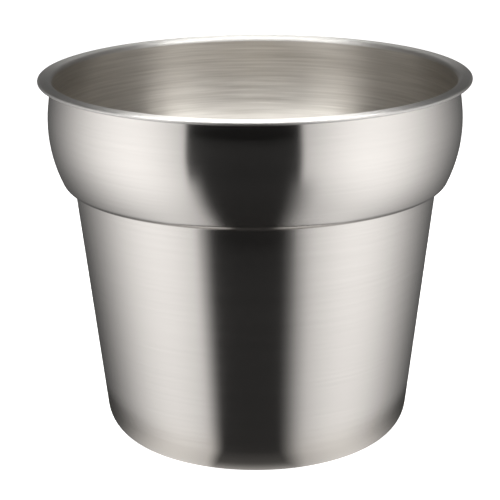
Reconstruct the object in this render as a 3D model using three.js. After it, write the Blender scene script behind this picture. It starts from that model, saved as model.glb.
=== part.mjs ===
import * as THREE from 'three';

// A round stainless steel insert pot for a soup kettle or a steam table well.
// It is one sheet of steel: a tapered body, a sharp inward crease, a wider bulged collar
// and a level rim that is folded back under itself.
// Millimetres, +Z up, origin at the middle of the base.

const rimDiameter = 241.3;
const overallHeight = 208;
const sheet = 0.8;

// Base and body, measured on the outside of the steel.
const baseDiameter = 169.4; // where the wall, carried straight down, would meet the floor
const baseCornerRadius = 18.4;
const wallTaper = degrees(6.68); // each side, from upright

// Collar, measured on the outside.
const creaseHeight = 146.86; // the level underside of the collar, where it meets the body
const creaseRadius = 0.8;
const shoulderRadius = 6.4;
const collarDiameter = 231.5; // at its widest
const collarWidestHeight = 183.15;
const collarBulgeRadius = 77.4;
const neckLean = degrees(7); // how far the top of the collar leans inwards

// Rim, measured on its top and outer edge.
const rimBendRadius = 2.5;
const hemThickness = 2.4; // flange, gap and folded lip together
const hemLip = 3; // how far the folded lip comes back under the flange

const segmentsAround = 64;
const cornerSteps = { base: 5, crease: 2, shoulder: 4, collar: 6, rimBend: 5, hem: 6 };

function degrees(value) {
  return value * Math.PI / 180;
}

// Each bend of the sheet: its centre, its radius to the outside face and to the inside face,
// and the angles between which it turns, from the base towards the rim.
function sheetBends() {
  const down = -Math.PI / 2;
  const up = Math.PI / 2;
  const sin = Math.sin(wallTaper);
  const cos = Math.cos(wallTaper);

  const baseCentre = new THREE.Vector2(
    baseDiameter / 2 - baseCornerRadius * (1 - sin) / cos,
    baseCornerRadius,
  );

  const creaseZ = creaseHeight - creaseRadius;
  const creaseCentre = new THREE.Vector2(
    baseDiameter / 2 + (creaseRadius + creaseZ * sin) / cos,
    creaseZ,
  );

  const collarCentre = new THREE.Vector2(collarDiameter / 2 - collarBulgeRadius, collarWidestHeight);

  const shoulderZ = creaseHeight + shoulderRadius;
  const centreGap = collarBulgeRadius - shoulderRadius;
  const shoulderDrop = collarWidestHeight - shoulderZ;
  const shoulderCentre = new THREE.Vector2(
    collarCentre.x + Math.sqrt(centreGap ** 2 - shoulderDrop ** 2),
    shoulderZ,
  );
  const shoulderEnd = -Math.asin(shoulderDrop / centreGap);

  const rimBendZ = overallHeight - rimBendRadius;
  const rimBendReach = collarBulgeRadius + rimBendRadius - sheet;
  const rimBendRise = rimBendZ - collarWidestHeight;
  const rimBendCentre = new THREE.Vector2(
    collarCentre.x + (rimBendReach - rimBendRise * Math.sin(neckLean)) / Math.cos(neckLean),
    rimBendZ,
  );

  const hemRadius = hemThickness / 2;
  const hemCentre = new THREE.Vector2(rimDiameter / 2 - hemRadius, overallHeight - hemRadius);

  return [
    bend(baseCentre, baseCornerRadius, baseCornerRadius - sheet, down, -wallTaper, cornerSteps.base),
    bend(creaseCentre, creaseRadius, creaseRadius + sheet, Math.PI - wallTaper, up, cornerSteps.crease),
    bend(shoulderCentre, shoulderRadius, shoulderRadius - sheet, down, shoulderEnd, cornerSteps.shoulder),
    bend(collarCentre, collarBulgeRadius, collarBulgeRadius - sheet, shoulderEnd, neckLean, cornerSteps.collar),
    bend(rimBendCentre, rimBendRadius - sheet, rimBendRadius, Math.PI + neckLean, up, cornerSteps.rimBend),
    bend(hemCentre, hemRadius - sheet, hemRadius, up, down, cornerSteps.hem),
  ];
}

function bend(centre, outside, inside, from, to, steps) {
  return { centre, outside, inside, from, to, steps };
}

// The points of one face of the sheet, from the axis at the base to the free edge of the hem.
function facePoints(face) {
  const startZ = face === 'outside' ? 0 : sheet;
  const points = [new THREE.Vector2(0, startZ)];
  for (const turn of sheetBends()) {
    for (let i = 0; i <= turn.steps; i += 1) {
      const angle = turn.from + (turn.to - turn.from) * i / turn.steps;
      const step = new THREE.Vector2(Math.cos(angle), Math.sin(angle)).multiplyScalar(turn[face]);
      addPoint(points, step.add(turn.centre));
    }
  }
  const last = points.at(-1);
  addPoint(points, new THREE.Vector2(last.x - hemLip, last.y));
  return points;
}

// Bends that touch share a point, which is kept once.
function addPoint(points, point) {
  const samePlace = 1e-4;
  if (points.at(-1).distanceTo(point) > samePlace) {
    points.push(point);
  }
}

function insertPot() {
  const outline = [...facePoints('outside'), ...facePoints('inside').reverse()];
  const geometry = new THREE.LatheGeometry(outline, segmentsAround);
  geometry.rotateX(Math.PI / 2);
  const steel = new THREE.MeshStandardMaterial({ color: 0xb9b7b3, roughness: 0.28, metalness: 1 });
  const mesh = new THREE.Mesh(geometry, steel);
  mesh.name = 'insert_pot';
  return mesh;
}

const soupKettleInsert = new THREE.Group();
soupKettleInsert.add(insertPot());

export default soupKettleInsert;
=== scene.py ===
import math
import bpy
from mathutils import Matrix, Vector


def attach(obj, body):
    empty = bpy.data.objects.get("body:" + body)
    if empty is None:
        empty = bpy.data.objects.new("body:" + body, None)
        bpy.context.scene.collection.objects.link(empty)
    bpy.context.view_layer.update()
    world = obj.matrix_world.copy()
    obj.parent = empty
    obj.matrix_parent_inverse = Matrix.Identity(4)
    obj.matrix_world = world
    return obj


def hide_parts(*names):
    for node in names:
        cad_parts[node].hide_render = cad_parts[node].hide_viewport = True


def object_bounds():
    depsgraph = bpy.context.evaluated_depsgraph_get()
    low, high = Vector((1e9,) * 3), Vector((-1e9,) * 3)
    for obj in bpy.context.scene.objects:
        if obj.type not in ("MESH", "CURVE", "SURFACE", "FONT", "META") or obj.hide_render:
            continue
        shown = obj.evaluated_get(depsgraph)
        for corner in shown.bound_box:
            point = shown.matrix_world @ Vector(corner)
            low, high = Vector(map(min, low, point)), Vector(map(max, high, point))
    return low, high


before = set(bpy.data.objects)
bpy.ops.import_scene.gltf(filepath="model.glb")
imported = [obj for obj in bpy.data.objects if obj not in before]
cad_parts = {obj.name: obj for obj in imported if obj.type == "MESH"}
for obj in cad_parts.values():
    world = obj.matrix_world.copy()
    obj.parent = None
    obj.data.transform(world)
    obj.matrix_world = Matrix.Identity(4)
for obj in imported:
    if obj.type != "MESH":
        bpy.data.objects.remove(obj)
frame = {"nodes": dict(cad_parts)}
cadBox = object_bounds()
low, high = cadBox
print("frame loaded:", ", ".join(frame["nodes"]))

# The pot is one drawn steel sheet. Metres; the rim's width and the height come from the frame.
pot = {
    "sheet": 0.0008,
    "baseDiameter": 0.1694,      # where the wall, carried down, meets the floor
    "baseCorner": 0.0184,
    "wallTaper": math.radians(6.68),
    "creaseHeight": 0.14686,
    "creaseRadius": 0.0008,
    "shoulderRadius": 0.0064,
    "collarDiameter": 0.2315,
    "collarWidestHeight": 0.18315,
    "collarBulge": 0.0774,
    "neckLean": math.radians(7),
    "rimBend": 0.0025,
    "hemThickness": 0.0024,
    "hemLip": 0.003,
    "rimDiameter": high.x - low.x,
    "height": high.z - low.z,
    "segmentsAround": 192,
    "rowSpacing": 0.004,         # rows of faces along the sheet
    "guardRow": 0.0005,          # a short row beside each bend keeps the flats flat
    "bendStep": math.radians(6),
    "sharpAngle": math.radians(40),
    "mergeDistance": 0.000001,
}

finishNames = ["base", "body", "collar", "rim", "edge", "inside"]


# The bends of the sheet in order. Each also names the finish of the straight run before it and of the bend.
def sheetBends(p):
    sin, cos = math.sin(p["wallTaper"]), math.cos(p["wallTaper"])
    down, up = -math.pi / 2, math.pi / 2
    s = p["sheet"]
    corner = p["baseCorner"]
    baseCentre = Vector((p["baseDiameter"] / 2 - corner * (1 - sin) / cos, corner))
    creaseZ = p["creaseHeight"] - p["creaseRadius"]
    creaseCentre = Vector((p["baseDiameter"] / 2 + (p["creaseRadius"] + creaseZ * sin) / cos, creaseZ))
    collarCentre = Vector((p["collarDiameter"] / 2 - p["collarBulge"], p["collarWidestHeight"]))
    shoulderZ = p["creaseHeight"] + p["shoulderRadius"]
    gap = p["collarBulge"] - p["shoulderRadius"]
    drop = p["collarWidestHeight"] - shoulderZ
    shoulderCentre = Vector((collarCentre.x + math.sqrt(gap ** 2 - drop ** 2), shoulderZ))
    shoulderEnd = -math.asin(drop / gap)
    lean = p["neckLean"]
    rimZ = p["height"] - p["rimBend"]
    reach = p["collarBulge"] + p["rimBend"] - s
    rise = rimZ - p["collarWidestHeight"]
    rimCentre = Vector((collarCentre.x + (reach - rise * math.sin(lean)) / math.cos(lean), rimZ))
    hem = p["hemThickness"] / 2
    hemCentre = Vector((p["rimDiameter"] / 2 - hem, p["height"] - hem))
    return [
        {
            "centre": baseCentre, "outside": corner, "inside": corner - s,
            "from": down, "to": -p["wallTaper"],
            "outsideFinish": ("base", "base"), "insideFinish": ("inside", "inside"),
        },
        {
            "centre": creaseCentre, "outside": p["creaseRadius"], "inside": p["creaseRadius"] + s,
            "from": math.pi - p["wallTaper"], "to": up,
            "outsideFinish": ("body", "body"), "insideFinish": ("inside", "inside"),
        },
        {
            "centre": shoulderCentre, "outside": p["shoulderRadius"], "inside": p["shoulderRadius"] - s,
            "from": down, "to": shoulderEnd,
            "outsideFinish": ("collar", "collar"), "insideFinish": ("inside", "inside"),
        },
        {
            "centre": collarCentre, "outside": p["collarBulge"], "inside": p["collarBulge"] - s,
            "from": shoulderEnd, "to": lean,
            "outsideFinish": ("collar", "collar"), "insideFinish": ("inside", "inside"),
        },
        {
            "centre": rimCentre, "outside": p["rimBend"] - s, "inside": p["rimBend"],
            "from": math.pi + lean, "to": up,
            "outsideFinish": ("collar", "rim"), "insideFinish": ("inside", "rim"),
        },
        {
            "centre": hemCentre, "outside": hem - s, "inside": hem,
            "from": up, "to": down,
            "outsideFinish": ("rim", "edge"), "insideFinish": ("rim", "edge"),
        },
    ]


# Adds a straight run to point, in rows, with a guard row at both ends.
def addRun(points, finishes, point, finish, p):
    start = points[-1]
    length = (point - start).length
    if length < p["mergeDistance"]:
        return
    along = (point - start) / length
    rows = max(1, math.ceil(length / p["rowSpacing"]))
    stops = [length * i / rows for i in range(1, rows + 1)]
    if length > 4 * p["guardRow"]:  # a shorter run has no room for them
        stops = sorted(stops + [p["guardRow"], length - p["guardRow"]])
    for stop in stops:
        points.append(start + along * stop)
        finishes.append(finish)


# One face of the sheet, from the axis at the base to the free edge of the hem.
def facePoints(p, face):
    points = [Vector((0, 0 if face == "outside" else p["sheet"]))]
    finishes = []
    for bend in sheetBends(p):
        turn = bend["to"] - bend["from"]
        radius = bend[face]
        length = abs(turn) * radius
        steps = max(math.ceil(abs(turn) / p["bendStep"]), math.ceil(length / p["rowSpacing"]))
        runFinish, bendFinish = bend[face + "Finish"]
        for i in range(steps + 1):
            angle = bend["from"] + turn * i / steps
            point = bend["centre"] + radius * Vector((math.cos(angle), math.sin(angle)))
            if i == 0:
                addRun(points, finishes, point, runFinish, p)
            else:
                points.append(point)
                finishes.append(bendFinish)
    addRun(points, finishes, points[-1] - Vector((p["hemLip"], 0)), "rim", p)
    return points, finishes


# The whole outline of the sheet as a line of edges, for the Geometry Nodes tree to turn round the axis.
def profileObject(p):
    outer, outerFinishes = facePoints(p, "outside")
    inner, innerFinishes = facePoints(p, "inside")
    points = outer + inner[::-1]
    finishes = outerFinishes + ["rim"] + innerFinishes[::-1]
    mesh = bpy.data.meshes.new("sheetProfile")
    edges = [(i, i + 1) for i in range(len(points) - 1)]
    mesh.from_pydata([(point.x, 0, point.y) for point in points], edges, [])
    runLength = mesh.attributes.new("runLength", "FLOAT", "POINT")
    finish = mesh.attributes.new("finish", "INT", "EDGE")
    run = 0
    for i, point in enumerate(points):
        run += (point - points[i - 1]).length if i else 0
        runLength.data[i].value = run
    for i, name in enumerate(finishes):
        finish.data[i].value = finishNames.index(name)
    profile = bpy.data.objects.new("steel_insert_pot", mesh)
    bpy.context.scene.collection.objects.link(profile)
    return profile, run


def addNode(tree, kind, inputs=None, **settings):
    node = tree.nodes.new(kind)
    for name, value in settings.items():
        setattr(node, name, value)
    for name, value in (inputs or {}).items():
        if isinstance(value, bpy.types.NodeSocket):
            tree.links.new(value, node.inputs[name])
        else:
            node.inputs[name].default_value = value
    return node


def addMath(tree, operation, *values):
    return addNode(tree, "ShaderNodeMath", dict(enumerate(values)), operation=operation).outputs[0]


def addWhole(tree, operation, *values):
    return addNode(tree, "FunctionNodeIntegerMath", dict(enumerate(values)), operation=operation).outputs[0]


def sampleProfile(tree, profile, value, index, kind, domain):
    inputs = {"Geometry": profile, "Value": value, "Index": index}
    node = addNode(tree, "GeometryNodeSampleIndex", data_type=kind, domain=domain)
    for name, item in inputs.items():
        tree.links.new(item, node.inputs[name])
    return node.outputs[0]


def named(tree, name, kind):
    return addNode(tree, "GeometryNodeInputNamedAttribute", {"Name": name}, data_type=kind).outputs[0]


def store(tree, geometry, name, value, kind, domain):
    node = addNode(tree, "GeometryNodeStoreNamedAttribute", {"Geometry": geometry, "Name": name},
                   data_type=kind, domain=domain)
    tree.links.new(value, node.inputs["Value"])
    return node.outputs[0]


# Turns a profile line round the Z axis: rows of a flat grid take the profile's points, columns its angle.
def turnTree():
    tree = bpy.data.node_groups.new("turnSheet", "GeometryNodeTree")
    sockets = tree.interface
    sockets.new_socket("Profile", in_out="INPUT", socket_type="NodeSocketGeometry")
    sockets.new_socket("Segments Around", in_out="INPUT", socket_type="NodeSocketInt")
    sockets.new_socket("Run Length", in_out="INPUT", socket_type="NodeSocketFloat")
    sockets.new_socket("Sharp Angle", in_out="INPUT", socket_type="NodeSocketFloat")
    sockets.new_socket("Merge Distance", in_out="INPUT", socket_type="NodeSocketFloat")
    for name in finishNames:
        sockets.new_socket(name, in_out="INPUT", socket_type="NodeSocketMaterial")
    sockets.new_socket("Pot", in_out="OUTPUT", socket_type="NodeSocketGeometry")
    given = addNode(tree, "NodeGroupInput").outputs
    profile, segments = given["Profile"], given["Segments Around"]

    rows = addNode(tree, "GeometryNodeAttributeDomainSize", {"Geometry": profile}, component="MESH")
    columns = addWhole(tree, "ADD", segments, 1)
    gridSize = {"Vertices X": rows.outputs["Point Count"], "Vertices Y": columns}
    grid = addNode(tree, "GeometryNodeMeshGrid", gridSize)
    index = addNode(tree, "GeometryNodeInputIndex").outputs[0]
    row = addWhole(tree, "DIVIDE", index, columns)
    column = addWhole(tree, "MODULO", index, columns)
    angle = addMath(tree, "MULTIPLY", addMath(tree, "DIVIDE", column, segments), 2 * math.pi)
    position = addNode(tree, "GeometryNodeInputPosition").outputs[0]
    point = sampleProfile(tree, profile, position, row, "FLOAT_VECTOR", "POINT")
    apart = addNode(tree, "ShaderNodeSeparateXYZ", {0: point}).outputs
    turned = addNode(tree, "ShaderNodeCombineXYZ", {
        "X": addMath(tree, "MULTIPLY", apart["X"], addMath(tree, "COSINE", angle)),
        "Y": addMath(tree, "MULTIPLY", apart["X"], addMath(tree, "SINE", angle)),
        "Z": apart["Z"],
    }).outputs[0]
    shape = addNode(tree, "GeometryNodeSetPosition", {"Geometry": grid.outputs["Mesh"], "Position": turned})

    run = sampleProfile(tree, profile, named(tree, "runLength", "FLOAT"), row, "FLOAT", "POINT")
    shape = store(tree, shape.outputs[0], "runLength", run, "FLOAT", "POINT")
    faceRow = addWhole(tree, "DIVIDE", index, segments)
    finish = sampleProfile(tree, profile, named(tree, "finish", "INT"), faceRow, "INT", "EDGE")
    shape = store(tree, shape, "finish", finish, "INT", "FACE")
    around = addNode(tree, "ShaderNodeSeparateXYZ", {0: grid.outputs["UV Map"]}).outputs["Y"]
    along = addMath(tree, "DIVIDE", named(tree, "runLength", "FLOAT"), given["Run Length"])
    unrolled = addNode(tree, "ShaderNodeCombineXYZ", {"X": around, "Y": along}).outputs[0]
    shape = store(tree, shape, "UVMap", unrolled, "FLOAT2", "CORNER")

    merged = addNode(tree, "GeometryNodeMergeByDistance",
                     {"Geometry": shape, "Distance": given["Merge Distance"]}).outputs[0]
    outward = addNode(tree, "GeometryNodeFlipFaces", {"Mesh": merged}).outputs[0]
    edgeAngle = addNode(tree, "GeometryNodeInputMeshEdgeAngle").outputs["Unsigned Angle"]
    angles = {0: edgeAngle, 1: given["Sharp Angle"]}
    soft = addNode(tree, "FunctionNodeCompare", angles, operation="LESS_THAN")
    smooth = addNode(tree, "GeometryNodeSetShadeSmooth", {"Geometry": outward, "Shade Smooth": True})
    smooth = addNode(tree, "GeometryNodeSetShadeSmooth",
                     {"Geometry": smooth.outputs[0], "Shade Smooth": soft.outputs[0]}, domain="EDGE")
    shape = addNode(tree, "GeometryNodeRealizeInstances", {"Geometry": smooth.outputs[0]}).outputs[0]
    for number, name in enumerate(finishNames):
        chosen = addNode(tree, "FunctionNodeCompare", data_type="INT", operation="GREATER_EQUAL")
        tree.links.new(named(tree, "finish", "INT"), chosen.inputs[2])
        chosen.inputs[3].default_value = number
        shape = addNode(tree, "GeometryNodeSetMaterial", {
            "Geometry": shape, "Selection": chosen.outputs[0], "Material": given[name]}).outputs[0]
    tree.links.new(shape, addNode(tree, "NodeGroupOutput").inputs[0])
    return tree


def turnedPot(p, materials):
    profile, run = profileObject(p)
    modifier = profile.modifiers.new("turnSheet", "NODES")
    modifier.node_group = turnTree()
    values = {
        "Segments Around": p["segmentsAround"],
        "Run Length": run,
        "Sharp Angle": p["sharpAngle"],
        "Merge Distance": p["mergeDistance"],
        **materials,
    }
    for socket in modifier.node_group.interface.items_tree:
        if socket.name in values:
            modifier[socket.identifier] = values[socket.name]
    bpy.context.view_layer.update()
    graph = bpy.context.evaluated_depsgraph_get()
    mesh = bpy.data.meshes.new_from_object(profile.evaluated_get(graph), depsgraph=graph)
    mesh.materials.pop(index=0)  # the grid's own empty slot
    profile.modifiers.clear()
    profile.data = mesh
    mesh.name = profile.name
    return profile


# Lengths in metres. The grain runs round the pot: long along the stroke, fine across it.
steels = {
    "base": {
        "light": (0.705, 0.685, 0.665), "dark": (0.655, 0.635, 0.615),
        "roughness": 0.22, "roughnessSpread": 0.03, "anisotropy": 0.9,
        "strokeLength": 0.03, "strokePitch": 0.0004, "grainDepth": 0.0000004,
        "streakPitch": 0.0016, "waveSize": 0.05, "waveDepth": 0.00001,
    },
    "body": {
        "light": (0.70, 0.68, 0.66), "dark": (0.65, 0.63, 0.61),
        "roughness": 0.21, "roughnessSpread": 0.03, "anisotropy": 0.9,
        "strokeLength": 0.03, "strokePitch": 0.0003, "grainDepth": 0.0000004,
        "streakPitch": 0.0014, "waveSize": 0.06, "waveDepth": 0.00001,
    },
    "collar": {
        "light": (0.71, 0.69, 0.67), "dark": (0.66, 0.64, 0.62),
        "roughness": 0.19, "roughnessSpread": 0.02, "anisotropy": 0.9,
        "strokeLength": 0.03, "strokePitch": 0.0003, "grainDepth": 0.0000003,
        "streakPitch": 0.0012, "waveSize": 0.06, "waveDepth": 0.00001,
    },
    "rim": {
        "light": (0.72, 0.71, 0.70), "dark": (0.66, 0.65, 0.63),
        "roughness": 0.48, "roughnessSpread": 0.12, "anisotropy": 0.9,
        "strokeLength": 0.02, "strokePitch": 0.0003, "grainDepth": 0.0000008,
        "streakPitch": 0.001, "waveSize": 0.02, "waveDepth": 0.00003,
    },
    "edge": {
        "light": (0.76, 0.75, 0.74), "dark": (0.64, 0.63, 0.61),
        "roughness": 0.46, "roughnessSpread": 0.12, "anisotropy": 0.8,
        "strokeLength": 0.01, "strokePitch": 0.0004, "grainDepth": 0.000001,
        "streakPitch": 0.001, "waveSize": 0.02, "waveDepth": 0.00003,
    },
    "inside": {
        "light": (0.80, 0.775, 0.735), "dark": (0.49, 0.465, 0.43),
        "roughness": 0.36, "roughnessSpread": 0.10, "anisotropy": 0.9,
        "strokeLength": 0.022, "strokePitch": 0.0005, "grainDepth": 0.000001,
        "streakPitch": 0.0013, "waveSize": 0.05, "waveDepth": 0.00001,
    },
}

# What all the brushed steels share.
brushing = {
    "streakStretch": 2,          # a streak's length in strokes
    "grainShare": 0.5,           # of the fine grain in the gloss; the streaks have the rest
    "noiseLow": 0.3,             # the part of the noise that the gloss follows
    "noiseHigh": 0.7,
    "glossTurn": 0.25,           # of a full turn, so that the gloss is drawn out across the strokes
    "grainDetail": 1,
    "streakDetail": 2,
    "waveDetail": 1,
}


# Noise drawn out round the pot into brush lines.
def brushLines(tree, place, run, length, pitch, detail):
    flat = addNode(tree, "ShaderNodeSeparateXYZ", {0: place}).outputs
    vector = addNode(tree, "ShaderNodeCombineXYZ", {
        "X": addMath(tree, "DIVIDE", flat["X"], length),
        "Y": addMath(tree, "DIVIDE", flat["Y"], length),
        "Z": addMath(tree, "DIVIDE", run, pitch),
    }).outputs[0]
    noise = addNode(tree, "ShaderNodeTexNoise", {"Vector": vector, "Scale": 1, "Detail": detail})
    return noise.outputs["Fac"]


def steel(name, s, b):
    material = bpy.data.materials.new(name)
    material.use_nodes = True
    tree = material.node_tree
    tree.nodes.clear()
    place = addNode(tree, "ShaderNodeTexCoord").outputs["Object"]
    run = addNode(tree, "ShaderNodeAttribute", attribute_name="runLength").outputs["Fac"]
    grain = brushLines(tree, place, run, s["strokeLength"], s["strokePitch"], b["grainDetail"])
    streakLength = b["streakStretch"] * s["strokeLength"]
    streaks = brushLines(tree, place, run, streakLength, s["streakPitch"], b["streakDetail"])
    waveNoise = {"Vector": place, "Scale": 1 / s["waveSize"], "Detail": b["waveDetail"]}
    waves = addNode(tree, "ShaderNodeTexNoise", waveNoise).outputs["Fac"]

    colour = addNode(tree, "ShaderNodeMix", {"Factor": streaks}, data_type="RGBA")
    for socket in colour.inputs:
        if socket.type == "RGBA":
            socket.default_value = (*(s["dark"] if socket.name == "A" else s["light"]), 1)
    mixed = next(socket for socket in colour.outputs if socket.type == "RGBA")

    grainPart = addMath(tree, "MULTIPLY", grain, b["grainShare"])
    streakPart = addMath(tree, "MULTIPLY", streaks, 1 - b["grainShare"])
    spread = s["roughnessSpread"] / 2
    roughness = addNode(tree, "ShaderNodeMapRange", {
        "Value": addMath(tree, "ADD", grainPart, streakPart),
        "From Min": b["noiseLow"], "From Max": b["noiseHigh"],
        "To Min": s["roughness"] - spread, "To Max": s["roughness"] + spread,
    }).outputs[0]

    fine = addNode(tree, "ShaderNodeBump", {"Height": grain, "Distance": s["grainDepth"], "Strength": 1})
    wavy = addNode(tree, "ShaderNodeBump", {
        "Height": waves, "Distance": s["waveDepth"], "Strength": 1, "Normal": fine.outputs[0],
    })

    stroke = addNode(tree, "ShaderNodeVectorMath", {0: (0, 0, 1), 1: place}, operation="CROSS_PRODUCT")
    tangent = addNode(tree, "ShaderNodeVectorMath", {0: stroke.outputs[0]}, operation="NORMALIZE")
    shader = addNode(tree, "ShaderNodeBsdfPrincipled", {
        "Base Color": mixed, "Metallic": 1, "Roughness": roughness, "Anisotropic": s["anisotropy"],
        "Anisotropic Rotation": b["glossTurn"], "Tangent": tangent.outputs[0], "Normal": wavy.outputs[0],
    })
    output = addNode(tree, "ShaderNodeOutputMaterial", {"Surface": shader.outputs[0]})
    output.is_active_output = True
    return material


materials = {name: steel(name + "Steel", steels[name], brushing) for name in finishNames}
insertPot = turnedPot(pot, materials)
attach(insertPot, "root")
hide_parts("insert_pot")
print("pot turned:", len(insertPot.data.polygons), "faces")


# The pot stands in a round white tent that is open towards the camera. Metres, and degrees round from the
# camera. Each side of its walls glows most beside the pot, and falls off towards the opening and the back.
tent = {
    "radius": 0.6,
    "bottom": -1.1,
    "top": 0.42,
    "segments": 96,
    "upperWalls": {              # crisp edges to the opening
        "brightness": 1.35,
        "left": {"opening": (33, 34.5), "brightestAt": 63, "frontSpread": 40, "backSpread": 50},
        "right": {"opening": (20.5, 24), "brightestAt": 58, "frontSpread": 44, "backSpread": 53},
        "openGlow": 0.01,        # what is left in the opening
    },
    "lowerWalls": {              # soft edges, spread wider apart
        "brightness": 1.27,
        "left": {"opening": (24, 38.5), "brightestAt": 62, "frontSpread": 48, "backSpread": 48},
        "right": {"opening": (12, 37), "brightestAt": 65, "frontSpread": 48, "backSpread": 50},
        "openGlow": 0.02,
    },
    "backShare": 0.04,           # of their brightness, the least that the walls fall off to
    "crispAbove": -0.02,         # where the upper walls have taken over from the lower ones
    "softBelow": -0.10,
    "fadeFrom": -0.10,
    "fadeTo": -0.45,
    "fadeLeft": 0.70,            # brightness left at fadeTo
    "dimFrom": 0.27,             # the walls darken again towards the top
    "dimTo": 0.40,
    "dimLeft": 0.05,
    "warmth": (1.0, 0.985, 0.97),
}

# Softboxes over the pot: each end is (distance behind the pot's axis, half width); in front is negative.
softboxes = {
    "frontBox": {
        "height": 0.75, "ends": [(-0.50, 0.68), (-0.07, 0.62)],
        "brightness": 6.4, "colour": (1.0, 0.99, 0.97),
    },
    "backBox": {
        "height": 0.75, "ends": [(0.05, 0.22), (1.8, 0.40)],
        "brightness": 0.8, "colour": (1.0, 0.99, 0.97),
    },
}

# A pale glowing disc round the foot of the pot, which only the steel sees: painted light of a lit table,
# not a lamp. It carries the lower walls' glow on as a painted reflection, with a painted ring of brightness
# round the foot.
paintedTableLight = {
    "radius": 0.12,
    "height": -0.0005,
    "segments": 96,
    # (radius, painted brightness), outwards from under the pot
    "glow": [(0.072, 0.42), (0.078, 0.33), (0.082, 0.17), (0.086, 0.07), (0.12, 0.0)],
    "wallShare": 0.68,           # how much of the walls' brightness it takes
    "turnRate": 1.7,             # how much faster the walls' glow changes round it
    "colour": (1.0, 0.965, 0.92),
}

# A lamp straight below, which lights the turned-under edge of the collar.
lamp = {
    "height": -0.9,
    "radius": 0.2,
    "segments": 48,
    "brightness": 0.8,
    "colour": (1.0, 0.93, 0.84),
}

studio = {
    "floorRadius": 6.0,
    "floorColour": (0.9, 0.9, 0.9),
    "floorGlow": 1.0,
    "lens": 133.2,               # millimetres, as is the sensor's width
    "sensorWidth": 36,
    "aim": Vector((-0.0034, 0, 0.1051)),
    "distance": 1.0596,
    "elevation": math.radians(16.9),
    "roll": math.radians(-0.42),
}


def makeCamera(s):
    data = bpy.data.cameras.new("camera")
    data.lens = s["lens"]
    data.sensor_width = s["sensorWidth"]
    camera = bpy.data.objects.new("camera", data)
    bpy.context.scene.collection.objects.link(camera)
    tilt = s["elevation"]
    back = Vector((0, -math.cos(tilt), math.sin(tilt)))
    right = Vector((1, 0, 0))
    up = back.cross(right)
    turned = Matrix.Rotation(s["roll"], 4, "Z")
    axes = Matrix((right, up, back)).transposed().to_4x4()
    camera.matrix_world = Matrix.Translation(s["aim"] + back * s["distance"]) @ axes @ turned
    bpy.context.scene.camera = camera


def makeMaterial(name):
    material = bpy.data.materials.new(name)
    material.use_nodes = True
    material.node_tree.nodes.clear()
    return material, material.node_tree


def stageObject(name, points, faces, material):
    mesh = bpy.data.meshes.new(name)
    mesh.from_pydata(points, [], faces)
    mesh.materials.append(material)
    item = bpy.data.objects.new(name, mesh)
    bpy.context.scene.collection.objects.link(item)
    return item


def makeFloor(s):
    material, tree = makeMaterial("paleFloor")
    shader = addNode(tree, "ShaderNodeBsdfPrincipled", {
        "Base Color": (*s["floorColour"], 1), "Roughness": 1, "Specular IOR Level": 0,
        "Emission Color": (1, 1, 1, 1), "Emission Strength": s["floorGlow"]})
    addNode(tree, "ShaderNodeOutputMaterial", {"Surface": shader.outputs[0]})
    r = s["floorRadius"]
    floor = stageObject("floor", [(-r, -r, 0), (r, -r, 0), (r, r, 0), (-r, r, 0)], [(0, 1, 2, 3)], material)
    floor.visible_glossy = False
    floor.visible_shadow = False


# From least to 1 as value goes from start to end.
def addRange(tree, value, start, end, least=0):
    inputs = {"Value": value, "From Min": start, "From Max": end, "To Min": least}
    return addNode(tree, "ShaderNodeMapRange", inputs).outputs[0]


# A curve through (place from 0 to 1, brightness) stops.
def glowCurve(tree, place, stops):
    brightest = max(brightness for _, brightness in stops)
    node = addNode(tree, "ShaderNodeFloatCurve", {"Value": place})
    curve = node.mapping.curves[0]
    for number, (along, brightness) in enumerate(stops):
        spot = (along, brightness / brightest)
        point = curve.points[number] if number < 2 else curve.points.new(*spot)
        point.location = spot
        point.handle_type = "VECTOR"
    node.mapping.update()
    return addMath(tree, "MULTIPLY", node.outputs[0], brightest)


# Degrees round from the camera, to the right.
def bearingOf(tree, apart):
    toCamera = addMath(tree, "MULTIPLY", apart["Y"], -1)
    return addMath(tree, "DEGREES", addMath(tree, "ARCTAN2", apart["X"], toCamera))


def sideGlow(tree, bearing, side, backShare):
    away = addMath(tree, "SUBTRACT", bearing, side["brightestAt"])
    ahead = addMath(tree, "DIVIDE", addMath(tree, "MINIMUM", away, 0), side["frontSpread"])
    behind = addMath(tree, "DIVIDE", addMath(tree, "MAXIMUM", away, 0), side["backSpread"])
    spread = addMath(tree, "ADD", ahead, behind)
    fall = addMath(tree, "MULTIPLY", addMath(tree, "MULTIPLY", spread, spread), -1)
    glow = addRange(tree, addMath(tree, "EXPONENT", fall), 0, 1, backShare)
    dark, lit = side["opening"]
    edge = addNode(tree, "ShaderNodeMapRange", {"Value": bearing, "From Min": dark, "From Max": lit},
                   interpolation_type="SMOOTHSTEP").outputs[0]
    return addMath(tree, "MULTIPLY", glow, edge)


def wallGlow(tree, bearing, walls, backShare):
    left = sideGlow(tree, addMath(tree, "MULTIPLY", bearing, -1), walls["left"], backShare)
    right = sideGlow(tree, bearing, walls["right"], backShare)
    glow = addMath(tree, "MULTIPLY", addMath(tree, "ADD", left, right), walls["brightness"])
    return addMath(tree, "MAXIMUM", glow, walls["openGlow"])


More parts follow.
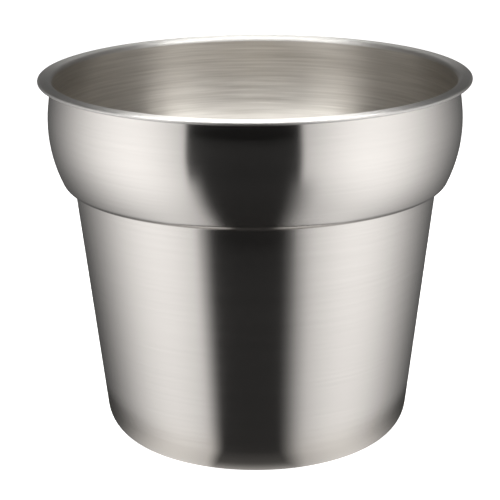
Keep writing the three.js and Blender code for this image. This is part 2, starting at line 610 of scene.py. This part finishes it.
def makeTent(t):
    material, tree = makeMaterial("tentCloth")
    place = addNode(tree, "ShaderNodeTexCoord").outputs["Object"]
    apart = addNode(tree, "ShaderNodeSeparateXYZ", {0: place}).outputs
    bearing = bearingOf(tree, apart)
    upper = wallGlow(tree, bearing, t["upperWalls"], t["backShare"])
    lower = wallGlow(tree, bearing, t["lowerWalls"], t["backShare"])
    crisp = addRange(tree, apart["Z"], t["softBelow"], t["crispAbove"])
    fade = addRange(tree, apart["Z"], t["fadeTo"], t["fadeFrom"], t["fadeLeft"])
    dim = addRange(tree, apart["Z"], t["dimTo"], t["dimFrom"], t["dimLeft"])
    walls = addNode(tree, "ShaderNodeMix", {0: crisp, 2: lower, 3: upper}, data_type="FLOAT").outputs[0]
    strength = addMath(tree, "MULTIPLY", walls, addMath(tree, "MULTIPLY", fade, dim))
    glow = addNode(tree, "ShaderNodeEmission", {"Color": (*t["warmth"], 1), "Strength": strength})
    addNode(tree, "ShaderNodeOutputMaterial", {"Surface": glow.outputs[0]})
    points, faces = [], []
    for i in range(t["segments"]):
        angle = 2 * math.pi * i / t["segments"]
        for z in (t["bottom"], t["top"]):
            points.append((t["radius"] * math.cos(angle), t["radius"] * math.sin(angle), z))
        ahead = (i + 1) % t["segments"]
        faces.append((2 * i, 2 * i + 1, 2 * ahead + 1, 2 * ahead))
    cloth = stageObject("tent", points, faces, material)
    cloth.visible_camera = False
    cloth.visible_shadow = False


def makeSoftbox(name, box):
    material, tree = makeMaterial(name + "Cloth")
    inputs = {"Color": (*box["colour"], 1), "Strength": box["brightness"]}
    glow = addNode(tree, "ShaderNodeEmission", inputs)
    addNode(tree, "ShaderNodeOutputMaterial", {"Surface": glow.outputs[0]})
    (near, nearHalf), (far, farHalf) = box["ends"]
    z = box["height"]
    corners = [(-nearHalf, near, z), (-farHalf, far, z), (farHalf, far, z), (nearHalf, near, z)]
    panel = stageObject(name, corners, [(0, 1, 2, 3)], material)
    panel.visible_camera = False
    panel.visible_shadow = False


# A round disc, seen only in the steel's gloss.
def makeDisc(name, d, material):
    turns = [2 * math.pi * i / d["segments"] for i in range(d["segments"])]
    points = [(d["radius"] * math.cos(turn), d["radius"] * math.sin(turn), d["height"]) for turn in turns]
    disc = stageObject(name, points, [tuple(range(d["segments"]))], material)
    disc.visible_camera = False
    disc.visible_diffuse = False
    disc.visible_shadow = False


# The table's light is painted as emission: the walls' glow carried on, and a painted ring of brightness
# round the foot.
def makePaintedTableLight(t, walls, backShare):
    material, tree = makeMaterial("paintedTableLightGlow")
    place = addNode(tree, "ShaderNodeTexCoord").outputs["Object"]
    apart = addNode(tree, "ShaderNodeSeparateXYZ", {0: place}).outputs
    bearing = addMath(tree, "MULTIPLY", bearingOf(tree, apart), t["turnRate"])
    carried = addMath(tree, "MULTIPLY", wallGlow(tree, bearing, walls, backShare), t["wallShare"])
    outward = addNode(tree, "ShaderNodeVectorMath", {0: place}, operation="LENGTH").outputs["Value"]
    first, last = t["glow"][0][0], t["glow"][-1][0]
    stops = [((radius - first) / (last - first), brightness) for radius, brightness in t["glow"]]
    middle = glowCurve(tree, addRange(tree, outward, first, last), stops)
    strength = addMath(tree, "MAXIMUM", carried, middle)
    glow = addNode(tree, "ShaderNodeEmission", {"Color": (*t["colour"], 1), "Strength": strength})
    addNode(tree, "ShaderNodeOutputMaterial", {"Surface": glow.outputs[0]})
    makeDisc("paintedTableLight", t, material)


def makeLamp(s):
    material, tree = makeMaterial("lampCloth")
    glow = addNode(tree, "ShaderNodeEmission", {"Color": (*s["colour"], 1), "Strength": s["brightness"]})
    addNode(tree, "ShaderNodeOutputMaterial", {"Surface": glow.outputs[0]})
    makeDisc("lamp", s, material)


def makeWorld():
    world = bpy.data.worlds.new("studio")
    bpy.context.scene.world = world
    world.use_nodes = True
    tree = world.node_tree
    tree.nodes.clear()
    seen = addNode(tree, "ShaderNodeLightPath").outputs["Is Camera Ray"]
    white = addNode(tree, "ShaderNodeBackground", {"Color": (1, 1, 1, 1), "Strength": seen})
    addNode(tree, "ShaderNodeOutputWorld", {"Surface": white.outputs[0]})


makeCamera(studio)
makeFloor(studio)
makeTent(tent)
for name, box in softboxes.items():
    makeSoftbox(name, box)
makePaintedTableLight(paintedTableLight, tent["lowerWalls"], tent["backShare"])
makeLamp(lamp)
makeWorld()
bpy.context.scene.view_settings.view_transform = "Standard"
print("studio ready")
